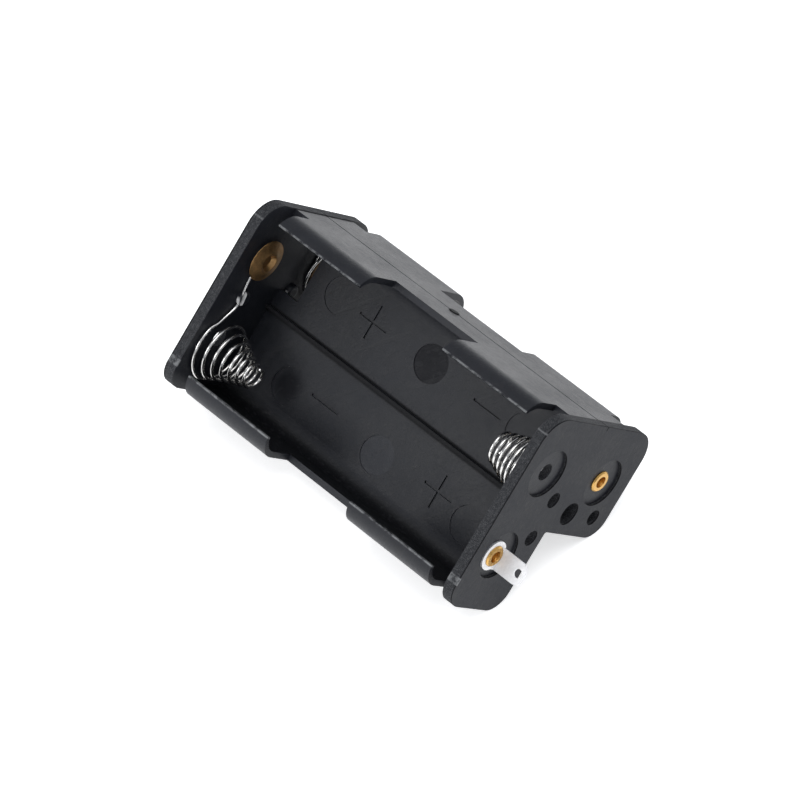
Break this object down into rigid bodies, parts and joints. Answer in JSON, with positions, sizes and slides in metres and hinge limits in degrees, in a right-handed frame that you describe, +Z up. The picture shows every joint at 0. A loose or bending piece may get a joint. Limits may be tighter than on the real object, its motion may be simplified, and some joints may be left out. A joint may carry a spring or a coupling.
{
  "type": "cylindrical cell holder",
  "caption": "Black moulded holder for cylindrical cells side by side and behind, with snap lips, conical springs, brass contact rivets and solder lugs.",
  "frame": {"origin": "middle of the bounding box, at the surface the holder stands on", "axes": "+X along the cells towards the plate with the guide hole, +Z up, -Y and +Z the way the front tray opens, between them"},
  "size_m": [0.0706, 0.041, 0.0308],
  "materials": {
    "moulded_plastic": "satin",
    "brass": "satin",
    "spring_wire": "bright nickel",
    "tinned_metal": "dull tin"
  },
  "bodies": {
    "holder": {"housing": "moulded_plastic", "contact_upper_left": "brass", "rivet_rear_left": "brass", "contact_lower_right": "brass", "contact_rear_right": "brass", "solder_lug_right": "tinned_metal", "solder_lug_left": "tinned_metal"},
    "spring_front_left": {"spring_front_left": "spring_wire"},
    "spring_front_right": {"spring_front_right": "spring_wire"},
    "spring_rear": {"spring_rear": "spring_wire"}
  },
  "joints": [
    {"name": "press_front_left", "type": "slide", "parent": "holder", "child": "spring_front_left", "axis": [-1, 0, 0], "range_m": [0, 0.005], "stiffness_N_per_m": 700, "deforming": ["spring_front_left"]},
    {"name": "press_front_right", "type": "slide", "parent": "holder", "child": "spring_front_right", "axis": [1, 0, 0], "range_m": [0, 0.005], "stiffness_N_per_m": 700, "deforming": ["spring_front_right"]},
    {"name": "press_rear", "type": "slide", "parent": "holder", "child": "spring_rear", "axis": [-1, 0, 0], "range_m": [0, 0.005], "stiffness_N_per_m": 700, "deforming": ["spring_rear"]}
  ]
}
